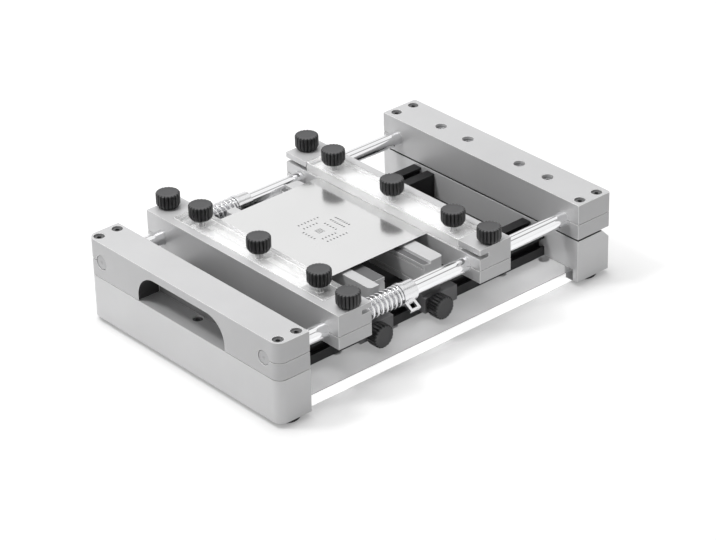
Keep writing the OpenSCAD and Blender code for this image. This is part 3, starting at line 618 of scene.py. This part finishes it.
def lathe(profile: list[Spot], steps: int) -> bmesh.types.BMesh:
    """Turn a profile about Z.

    Args:
        profile: Places of the profile as radius and height, in millimetres, from the axis to the axis.
        steps: Number of steps round.

    Returns:
        The turned shape, closed, in metres.
    """
    bm = bmesh.new()
    line = [bm.verts.new((radius * MM, 0.0, height * MM)) for radius, height in profile]
    for first, second in zip(line, line[1:]):
        bm.edges.new((first, second))
    bmesh.ops.spin(bm, geom=bm.verts[:] + bm.edges[:], cent=(0, 0, 0), axis=(0, 0, 1), dvec=(0, 0, 0),
                   angle=math.tau, steps=steps, space=Matrix.Identity(4), use_merge=True, use_duplicate=False)
    bmesh.ops.remove_doubles(bm, verts=bm.verts, dist=LATHE_WELD)
    bmesh.ops.recalc_face_normals(bm, faces=bm.faces)
    return bm


def arc(centre: Spot, radius: float, start: float, end: float, steps: int) -> list[Spot]:
    """Give places along an arc.

    Args:
        centre: The arc's centre.
        radius: Its radius.
        start: Its first angle, in degrees.
        end: Its last angle, in degrees.
        steps: Number of steps along it.

    Returns:
        The places, both ends among them.
    """
    angles = [math.radians(start + (end - start) * i / steps) for i in range(steps + 1)]
    return [(centre[0] + radius * math.cos(a), centre[1] + radius * math.sin(a)) for a in angles]


@dataclass(frozen=True)
class MachinedParts:
    """The blocks, bars and rails that are cut from aluminium, with eased edges. Sizes are in millimetres.

    Each low and high span a box, in which some faces have a finish of their own: the ledges of the board
    holders, the tops of the lower blocks, darkened as painted shade under the handle and hinge bars, the hand
    recess, darkened as painted shade, and the shaded end of that recess.
    """

    block_ease: float = 0.35
    rail_ease: float = 0.25
    small_ease: float = 0.25
    ledge_low: Point = (-100.0, -100.0, 60.0)
    ledge_high: Point = (100.0, 100.0, 61.0)
    top_low: Point = (-200.0, -120.0, 39.9)
    top_high: Point = (200.0, 120.0, 40.1)
    recess_low: Point = (-168.0, -53.0, 39.0)
    recess_high: Point = (-148.0, 53.0, 66.0)
    recess_end_low: Point = (-168.0, 28.0, 39.0)

    def build(self, shop: Workshop, finishes: Finishes) -> None:
        """Ease and dress the machined parts.

        Args:
            shop: The workshop.
            finishes: The finishes.
        """
        # The lower blocks' tops get painted shade where the bars lie over them.
        tops = {"lower_left_block": finishes.recess_floor, "lower_right_block": finishes.block_top}
        for node, finish in tops.items():
            top = Patch(finish, ((0, 0, 1),), self.top_low, self.top_high)
            shop.eased(node, finishes.block, finishes.eased_edge, self.block_ease, (top,))
        # The hand recess gets painted shade, deepest at its end.
        recess = Patch(finishes.recess, (), self.recess_low, self.recess_high)
        recess_end = Patch(finishes.recess_end, (), self.recess_end_low, self.recess_high)
        shop.eased("handle_bar", finishes.frame, finishes.eased_edge, self.block_ease, (recess_end, recess))
        shop.eased("hinge_bar", finishes.frame, finishes.eased_edge, self.block_ease)
        sides = Patch(finishes.bar_side, ((-1, 0, 0), (1, 0, 0)))
        for node in ("left_bar", "right_bar"):
            shop.eased(node, finishes.frame, finishes.eased_edge, self.block_ease, (sides,))
        ledge = Patch(finishes.ledge, ((0, 0, 1),), self.ledge_low, self.ledge_high)
        for node in ("left_holder", "right_holder"):
            shop.eased(node, finishes.holder, finishes.eased_edge, self.small_ease, (ledge,))
        for node in ("near_rail", "far_rail"):
            shop.eased(node, finishes.rail, finishes.rail_edge, self.rail_ease)
        for node in ("left_clamp_block", "right_clamp_block"):
            shop.eased(node, finishes.clamp_block, finishes.clamp_block, self.small_ease)
        shop.eased("bed_plate", finishes.bed, finishes.rail_edge, self.small_ease)


@dataclass(frozen=True)
class ClearParts:
    """The clear base plate and the clear strips over the foil. Sizes are in millimetres.

    The right strip is lifted by the play over the foil, so that the two don't meet in one plane.
    """

    plate_ease: float = 0.4
    strip_ease: float = 0.6
    foil_play: float = 0.03

    def build(self, shop: Workshop, finishes: Finishes) -> None:
        """Ease and dress the clear parts.

        Args:
            shop: The workshop.
            finishes: The finishes.
        """
        # The plate's grey top is painted shade of the floor under it.
        top = Patch(finishes.plate_top, ((0, 0, 1),))
        shop.eased("base_plate", finishes.plate, finishes.plate_edge, self.plate_ease, (top,))
        sides = Patch(finishes.clear_side, ((1, 0, 0), (-1, 0, 0), (0, 1, 0), (0, -1, 0)))
        for node, play in (("left_strip", 0.0), ("right_strip", self.foil_play)):
            strip = shop.eased(node, finishes.clear, finishes.clear_edge, self.strip_ease, (sides,))
            strip.data.transform(Matrix.Translation((0.0, 0.0, play * MM)))


@dataclass(frozen=True)
class SmallParts:
    """Hinges, screws, nuts, collars and feet. Sizes are in millimetres."""

    screw_ease: float = 0.2
    collar_ease: float = 0.35
    foot_ease: float = 0.6

    def build(self, shop: Workshop, finishes: Finishes) -> None:
        """Ease and dress the small parts.

        Args:
            shop: The workshop.
            finishes: The finishes.
        """
        for node in ("lower_hinge_leaves", "upper_hinge_leaves"):
            shop.eased(node, finishes.hinge, finishes.hinge, self.screw_ease)
        for node in ("handle_screws", "hinge_bar_screws", "recess_screw"):
            shop.eased(node, finishes.dark_screw, finishes.dark_screw, self.screw_ease)
        for node in ("foot_screws", "rail_screws", "tongue_screws", "lower_leaf_screws", "upper_leaf_screws",
                     "hinge_pins", "left_slot_nut", "right_slot_nut"):
            shop.eased(node, finishes.screw, finishes.screw, self.screw_ease)
        for node in ("near_collar", "far_collar"):
            shop.eased(node, finishes.collar, finishes.collar, self.collar_ease)
        shop.eased("feet", finishes.rubber, finishes.rubber, self.foot_ease)


@dataclass(frozen=True)
class StencilFoil:
    """The rolled foil with its openings."""

    def build(self, shop: Workshop, finishes: Finishes) -> None:
        """Dress the foil.

        Args:
            shop: The workshop.
            finishes: The finishes.
        """
        foil = shop.nodes["stencil_foil"]
        foil.data.materials.clear()
        foil.data.materials.append(shop.material(finishes.foil))


@dataclass(frozen=True)
class Rods:
    """The two polished rods, with chamfered ends and a turned centre. Sizes are in millimetres.

    Faces whose normal has a larger share than end_lean along the rod belong to its ends.
    """

    chamfer: float = 0.6
    centre_r: float = 1.6
    centre_depth: float = 1.2
    end_lean: float = 0.5
    steps: int = 96

    def build(self, shop: Workshop, finishes: Finishes) -> None:
        """Turn both rods.

        Args:
            shop: The workshop.
            finishes: The finishes.
        """
        for node in ("near_rod", "far_rod"):
            low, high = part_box(node)
            radius = (high.z - low.z) / 2 / MM
            length = (high.x - low.x) / MM
            inner = radius - self.chamfer
            bm = lathe([
                (0, self.centre_depth), (self.centre_r, 0), (inner, 0), (radius, self.chamfer),
                (radius, length - self.chamfer), (inner, length), (self.centre_r, length),
                (0, length - self.centre_depth)], self.steps)
            place = Matrix.Translation((low.x, (low.y + high.y) / 2, (low.z + high.z) / 2))
            bmesh.ops.transform(bm, matrix=place @ Way.ALONG.turn(), verts=bm.verts)
            bm.normal_update()
            for face in bm.faces:
                face.material_index = int(abs(face.normal.x) > self.end_lean)
            shop.piece(f"turned_{node}", bm, (finishes.chrome, finishes.rod_end), node)


@dataclass(frozen=True)
class Springs:
    """The two springs on the rods: closed ends and open curls between them. Sizes are in millimetres.

    The travel is that of the left clamp bar, which shortens the springs; the springs are wound at one length
    only.
    """

    wire: float = 1.8
    rod_gap: float = 0.7
    closed_turns: float = 0.75
    open_turns: float = 8.0
    steps_a_turn: int = 28
    wire_sides: int = 14
    travel: float = 8.0

    def build(self, shop: Workshop, finishes: Finishes) -> None:
        """Wind both springs.

        Args:
            shop: The workshop.
            finishes: The finishes.
        """
        for node in ("near_spring", "far_spring"):
            low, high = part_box(node)
            rod_low, rod_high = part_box(node.replace("spring", "rod"))
            axis_y, axis_z = (rod_low.y + rod_high.y) / 2, (rod_low.z + rod_high.z) / 2
            coil_r = rod_high.z - axis_z + (self.wire / 2 + self.rod_gap) * MM
            wire = self.wire * MM
            bm = bmesh.new()
            ring = bmesh.ops.create_circle(bm, segments=self.wire_sides, radius=wire / 2)["verts"]
            start = Vector((low.x + wire / 2, axis_y + coil_r, axis_z))
            bmesh.ops.translate(bm, verts=ring, vec=start)
            free_run = (high.x - low.x) - wire - 2 * self.closed_turns * wire
            closed = (self.closed_turns, wire * self.closed_turns)
            ends = bm.verts[:] + bm.edges[:]
            for turns, run in (closed, (self.open_turns, free_run), closed):
                steps = round(turns * self.steps_a_turn)
                wound = bmesh.ops.spin(
                    bm, geom=ends, cent=(start.x, axis_y, axis_z), axis=(1, 0, 0), dvec=(run / steps, 0, 0),
                    angle=math.tau * turns, steps=steps, space=Matrix.Identity(4), use_merge=False,
                    use_duplicate=False)
                ends = [part for part in wound["geom_last"] if not isinstance(part, bmesh.types.BMFace)]
            bmesh.ops.holes_fill(bm, edges=[edge for edge in bm.edges if edge.is_boundary], sides=0)
            bmesh.ops.recalc_face_normals(bm, faces=bm.faces)
            spring = shop.piece(f"wound_{node}", bm, (finishes.spring,), node)
            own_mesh(spring)


@dataclass(frozen=True)
class Knob:
    """A fluted knob with a steel stud and, on a strip knob, a steel boss. Sizes are in millimetres.

    From below, the head has a hollow, an eased foot, a taper, straight flutes, a round edge, a flat rim and a
    dish. The widths rim, dish_from and flute_inner are measured inwards from the round edge's inner end. The
    pairs foot_ease and stud_point say how far in and how high a slope goes, stud_neck how far under the head
    the neck's slope starts and ends, and thread_crest between which shares of the pitch a crest lies.
    """

    radius: float = 9.5
    height: float = 12.0
    hollow_r: float = 4.6
    hollow_rim_r: float = 5.0
    hollow_depth: float = 0.5
    foot_r: float = 7.9
    foot_ease: Spot = (0.5, 0.3)
    taper_h: float = 3.0
    edge_r: float = 1.4
    edge_run: float = 1.0
    edge_steps: int = 5
    rim: float = 1.2
    dish_from: float = 1.9
    dish_r: float = 4.0
    dish: float = 0.35
    top_lean: float = 0.8
    flutes: int = 20
    flute_depth: float = 0.95
    flute_share: float = 0.2
    flute_fall: float = 2.2
    flute_inner: float = 0.9
    flute_fade: float = 1.2
    flute_lowest: float = 0.2
    steps_a_flute: int = 10
    stud_r: float = 2.5
    stud_point: Spot = (0.9, 0.7)
    stud_neck: Spot = (2.0, 1.7)
    stud_sunk: float = 0.4
    stud_steps: int = 28
    thread_pitch: float = 0.8
    thread_depth: float = 0.32
    thread_from: float = 1.0
    thread_spare: float = 3.5
    thread_crest: Spot = (0.4, 0.5)
    boss_r: float = 4.5
    boss_h: float = 2.0
    boss_ease: float = 0.25
    boss_sunk: float = 0.3
    boss_steps: int = 48

    def head(self) -> bmesh.types.BMesh:
        """Shape the moulded head, standing on the origin.

        Returns:
            The head's shape.
        """
        top, flat = self.height, self.radius - self.edge_r
        foot_in, foot_up = self.foot_ease
        profile = [(0.0, self.hollow_depth), (self.hollow_r, self.hollow_depth), (self.hollow_rim_r, 0.0)]
        profile += [(self.foot_r - foot_in, 0.0), (self.foot_r, foot_up), (self.radius, self.taper_h)]
        profile += [(self.radius, top / 2), (self.radius, top - self.edge_r - self.edge_run)]
        profile += arc((flat, top - self.edge_r), self.edge_r, 0, 90, self.edge_steps)
        profile += [(flat - self.rim, top), (flat - self.dish_from, top - self.dish)]
        profile += [(self.dish_r, top - self.dish), (0.0, top - self.dish)]
        bm = lathe(profile, self.flutes * self.steps_a_flute)
        inner = (flat - self.flute_inner) * MM
        for vert in bm.verts:
            reach = math.hypot(vert.co.x, vert.co.y)
            if reach < inner or vert.co.z < self.flute_lowest * MM:
                continue
            share = (math.atan2(vert.co.y, vert.co.x) / math.tau * self.flutes) % 1.0
            off = min(share, 1.0 - share) / self.flute_share
            cut = self.flute_depth * math.exp(-(off ** 2) * self.flute_fall) * MM
            fade = min(1.0, (reach - inner) / (self.flute_fade * MM))
            vert.co.xy *= (reach - cut * fade) / reach
        bm.normal_update()
        for face in bm.faces:
            # Faces that point up take the lighter top finish, a painted sheen.
            face.material_index = int(face.normal.z > self.top_lean)
        return bm

    def stud(self, length: float) -> bmesh.types.BMesh:
        """Turn a threaded stud, from the origin down.

        Args:
            length: The stud's length, in millimetres.

        Returns:
            The stud's shape.
        """
        root, pitch = self.stud_r - self.thread_depth, self.thread_pitch
        point_in, point_up = self.stud_point
        profile = [(0.0, -length), (self.stud_r - point_in, -length), (root, -length + point_up)]
        for i in range(int((length - self.thread_spare) / pitch)):
            height = -length + self.thread_from + i * pitch
            profile.append((root, height))
            profile += [(self.stud_r, height + pitch * share) for share in self.thread_crest]
        neck_low, neck_high = self.stud_neck
        profile += [(root, -neck_low), (self.stud_r, -neck_high), (self.stud_r, self.stud_sunk)]
        return lathe([*profile, (0.0, self.stud_sunk)], self.stud_steps)

    def boss(self) -> bmesh.types.BMesh:
        """Turn the steel boss under a strip knob, from just inside the head down.

        Returns:
            The boss's shape.
        """
        profile = [(0.0, -self.boss_h), (self.boss_r - self.boss_ease, -self.boss_h)]
        profile += [(self.boss_r, self.boss_ease - self.boss_h), (self.boss_r, self.boss_sunk)]
        return lathe([*profile, (0.0, self.boss_sunk)], self.boss_steps)


@dataclass(frozen=True)
class Knobs:
    """The twelve knobs of the press."""

    shape: Knob = field(default_factory=Knob)

    def build(self, shop: Workshop, finishes: Finishes) -> None:
        """Make each knob where its node is.

        Args:
            shop: The workshop.
            finishes: The finishes.
        """
        head = self.shape.height * MM
        for node in sorted(name for name in shop.nodes if name.endswith("_knob")):
            low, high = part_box(node)
            centre = (low + high) / 2
            if "rail" in node:
                way, reach, foot = Way.NEAR, high.y - low.y, Vector((centre.x, low.y + head, centre.z))
            else:
                way, reach, foot = Way.UP, high.z - low.z, Vector((centre.x, centre.y, high.z - head))
            length = reach / MM - self.shape.height
            place = Matrix.Translation(foot) @ way.turn()
            stem = node.removesuffix("_knob")
            parts = [(f"{stem}_knob_head", self.shape.head(), (finishes.knob, finishes.knob_top), True),
                     (f"{stem}_knob_stud", self.shape.stud(length), (finishes.screw,), False)]
            if "strip" in node:
                parts.append((f"{stem}_knob_boss", self.shape.boss(), (finishes.screw,), False))
            for name, bm, worn, stands_for in parts:
                bmesh.ops.transform(bm, matrix=place, verts=bm.verts)
                shop.piece(name, bm, worn, node, stands_for)


@dataclass(frozen=True)
class Lamp:
    """A soft lamp. Its place and its size are in metres, its power in watts.

    A lamp that isn't mirrored lights the press, but metal shows the white studio in its place. No lamp shows
    through clear plastic, because its shadow already lets the lamps' light reach what is under it.
    """

    name: str
    place: Point
    size: Spot
    power: float
    mirrored: bool = True

    def hang(self, aim: Vector) -> None:
        """Hang the lamp and point it.

        Args:
            aim: The point that it faces.
        """
        light = bpy.data.lights.new(self.name, "AREA")
        light.shape = "RECTANGLE"
        light.size, light.size_y = self.size
        light.energy = self.power
        lamp = show(self.name, light)
        lamp.location = self.place
        lamp.rotation_euler = (aim - Vector(self.place)).to_track_quat("-Z", "Y").to_euler()
        lamp.visible_glossy = self.mirrored
        lamp.visible_transmission = False


@dataclass(frozen=True)
class Studio:
    """Camera, floor, lamps and world.

    Places are in metres, angles in degrees, and the lens and its sensor in millimetres. The floor's lifts are
    light of its own, which keeps it as pale as the photograph's. Where the press stands close over the floor,
    only the share contact_lift of that light is left. Far from the press far_lift is added, and through clear
    plastic the floor has glass_lift. The ring is the grey band that polished metal shows: its height is the
    upward share of a direction in its middle, and ring_half is half its width.
    """

    camera_place: Point = (-1.2982, -1.5097, 1.1467)
    azimuth: float = -40.81
    elevation: float = 29.47
    roll: float = -1.3785
    lens: float = 148.64
    sensor: float = 36.0
    clip: Spot = (0.05, 50.0)
    lamps: tuple[Lamp, ...] = (
        Lamp("overhead_box", (0.1, 0.35, 1.6), (1.3, 1.0), 16.5, mirrored=False),
        Lamp("key", (-0.7, 0.45, 1.5), (0.3, 0.3), 9.0),
        Lamp("left_box", (-1.6, 0.3, 0.9), (0.9, 1.2), 2.2),
    )
    lamp_aim: Point = (0.0, 0.0, 0.03)
    daylight: float = 0.3
    ring_height: float = 0.68
    ring_half: float = 0.07
    ring_strength: float = 0.35
    floor_half: float = 6.0
    floor_colour: Colour = (0.64, 0.64, 0.64)
    floor_roughness: float = 0.9
    floor_lift: float = 0.43
    contact_reach: float = 0.012
    contact_lift: float = 0.45
    contact_samples: int = 8
    far_lift: float = 0.38
    far_from: float = 0.8
    far_to: float = 3.0
    glass_lift: float = 0.8

    def camera(self) -> None:
        """Stand the camera at the photograph's viewing angle."""
        data = bpy.data.cameras.new("view")
        data.sensor_fit = "HORIZONTAL"
        data.sensor_width = self.sensor
        data.lens = self.lens
        data.clip_start, data.clip_end = self.clip
        camera = show("view", data)
        heading, height = math.radians(self.azimuth), math.radians(self.elevation)
        forward = Vector((-math.sin(heading) * math.cos(height), math.cos(heading) * math.cos(height),
                          -math.sin(height)))
        upright = forward.to_track_quat("-Z", "Y").to_matrix().to_4x4()
        camera.matrix_world = (Matrix.Translation(self.camera_place) @ upright
                               @ Matrix.Rotation(math.radians(self.roll), 4, "Z"))
        bpy.context.scene.camera = camera

    def lift(self, nodes: Nodes) -> Socket:
        """Make the floor's own light.

        Args:
            nodes: The nodes of the floor's material.

        Returns:
            The light's strength.
        """
        path = nodes.add("ShaderNodeLightPath")
        seen = nodes.maths("MAXIMUM", path.outputs["Is Camera Ray"], path.outputs["Is Glossy Ray"])
        # Painted contact shadow: the floor's own light fades where the press stands close over it.
        contact = nodes.add("ShaderNodeAmbientOcclusion", samples=self.contact_samples)
        contact.inputs["Distance"].default_value = self.contact_reach
        clear = nodes.add("ShaderNodeMapRange")
        nodes.join(contact.outputs["AO"], clear.inputs["Value"])
        clear.inputs["To Min"].default_value = self.floor_lift * self.contact_lift
        clear.inputs["To Max"].default_value = self.floor_lift
        lift = nodes.maths("MULTIPLY", seen, clear.outputs["Result"])
        place = nodes.add("ShaderNodeTexCoord")
        away = nodes.add("ShaderNodeVectorMath", operation="LENGTH")
        nodes.join(place.outputs["Object"], away.inputs[0])
        far = nodes.add("ShaderNodeMapRange", interpolation_type="SMOOTHSTEP")
        nodes.join(away.outputs["Value"], far.inputs["Value"])
        far.inputs["From Min"].default_value = self.far_from
        far.inputs["From Max"].default_value = self.far_to
        far.inputs["To Max"].default_value = self.far_lift
        further = nodes.maths("MULTIPLY", path.outputs["Is Camera Ray"], far.outputs["Result"])
        through = nodes.maths("MULTIPLY", path.outputs["Is Transmission Ray"], self.glass_lift)
        return nodes.maths("MAXIMUM", nodes.maths("ADD", lift, further), through)

    def floor(self) -> None:
        """Lay the pale floor, which keeps the shadow of the press."""
        bm = bmesh.new()
        bmesh.ops.create_grid(bm, x_segments=2, y_segments=2, size=self.floor_half)
        mesh = bpy.data.meshes.new("floor")
        bm.to_mesh(mesh)
        bm.free()
        floor = show("floor", mesh)
        material, nodes = fresh_material("pale_floor")
        shader, output = nodes.tree.nodes["Principled BSDF"], nodes.tree.nodes["Material Output"]
        shader.inputs["Base Color"].default_value = (*self.floor_colour, 1.0)
        shader.inputs["Roughness"].default_value = self.floor_roughness
        shader.inputs["Specular IOR Level"].default_value = 0.0
        glow = nodes.add("ShaderNodeEmission")
        nodes.join(self.lift(nodes), glow.inputs["Strength"])
        both = nodes.add("ShaderNodeAddShader")
        nodes.join(shader.outputs["BSDF"], both.inputs[0])
        nodes.join(glow.outputs["Emission"], both.inputs[1])
        nodes.join(both.outputs["Shader"], output.inputs["Surface"])
        mesh.materials.append(material)

    def sky(self, nodes: Nodes) -> Socket:
        """Make the white that polished metal shows: even, but for a grey ring where the lamps' edges are.

        Args:
            nodes: The world's nodes.

        Returns:
            The strength in each direction.
        """
        way = nodes.add("ShaderNodeTexCoord")
        split = nodes.add("ShaderNodeSeparateXYZ")
        nodes.join(way.outputs["Generated"], split.inputs[0])
        off = nodes.maths("ABSOLUTE", nodes.maths("SUBTRACT", split.outputs["Z"], self.ring_height))
        ring = nodes.add("ShaderNodeMapRange", interpolation_type="SMOOTHSTEP")
        nodes.join(off, ring.inputs["Value"])
        ring.inputs["From Min"].default_value = self.ring_half / 2
        ring.inputs["From Max"].default_value = self.ring_half
        ring.inputs["To Min"].default_value = self.ring_strength
        ring.inputs["To Max"].default_value = 1.0
        return ring.outputs["Result"]

    def world(self) -> None:
        """Light the scene evenly, with white behind the press."""
        world = bpy.data.worlds.new("studio")
        bpy.context.scene.world = world
        world.use_nodes = True
        nodes = Nodes(world.node_tree)
        back = world.node_tree.nodes["Background"]
        path = nodes.add("ShaderNodeLightPath")
        seen = nodes.maths("MAXIMUM", path.outputs["Is Camera Ray"], path.outputs["Is Transmission Ray"])
        plain = nodes.add("ShaderNodeMix", data_type="FLOAT")
        nodes.join(seen, plain.inputs[0])
        plain.inputs[2].default_value = self.daylight
        plain.inputs[3].default_value = 1.0
        strength = nodes.add("ShaderNodeMix", data_type="FLOAT")
        nodes.join(path.outputs["Is Glossy Ray"], strength.inputs[0])
        nodes.join(plain.outputs[0], strength.inputs[2])
        nodes.join(self.sky(nodes), strength.inputs[3])
        back.inputs["Color"].default_value = (1.0, 1.0, 1.0, 1.0)
        nodes.join(strength.outputs[0], back.inputs["Strength"])

    def build(self) -> None:
        """Set up the whole studio."""
        bpy.context.scene.view_settings.view_transform = "Standard"
        self.camera()
        self.floor()
        self.world()
        for lamp in self.lamps:
            lamp.hang(Vector(self.lamp_aim))


def main() -> None:
    """Dress the press and set up its studio."""
    logging.basicConfig(level=logging.INFO, format="%(message)s")
    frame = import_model()
    Studio().build()
    shop, finishes = Workshop(frame), Finishes()
    for assembly in (MachinedParts(), ClearParts(), SmallParts(), StencilFoil(), Rods(), Springs(), Knobs()):
        assembly.build(shop, finishes)


if __name__ == "__main__":
    main()
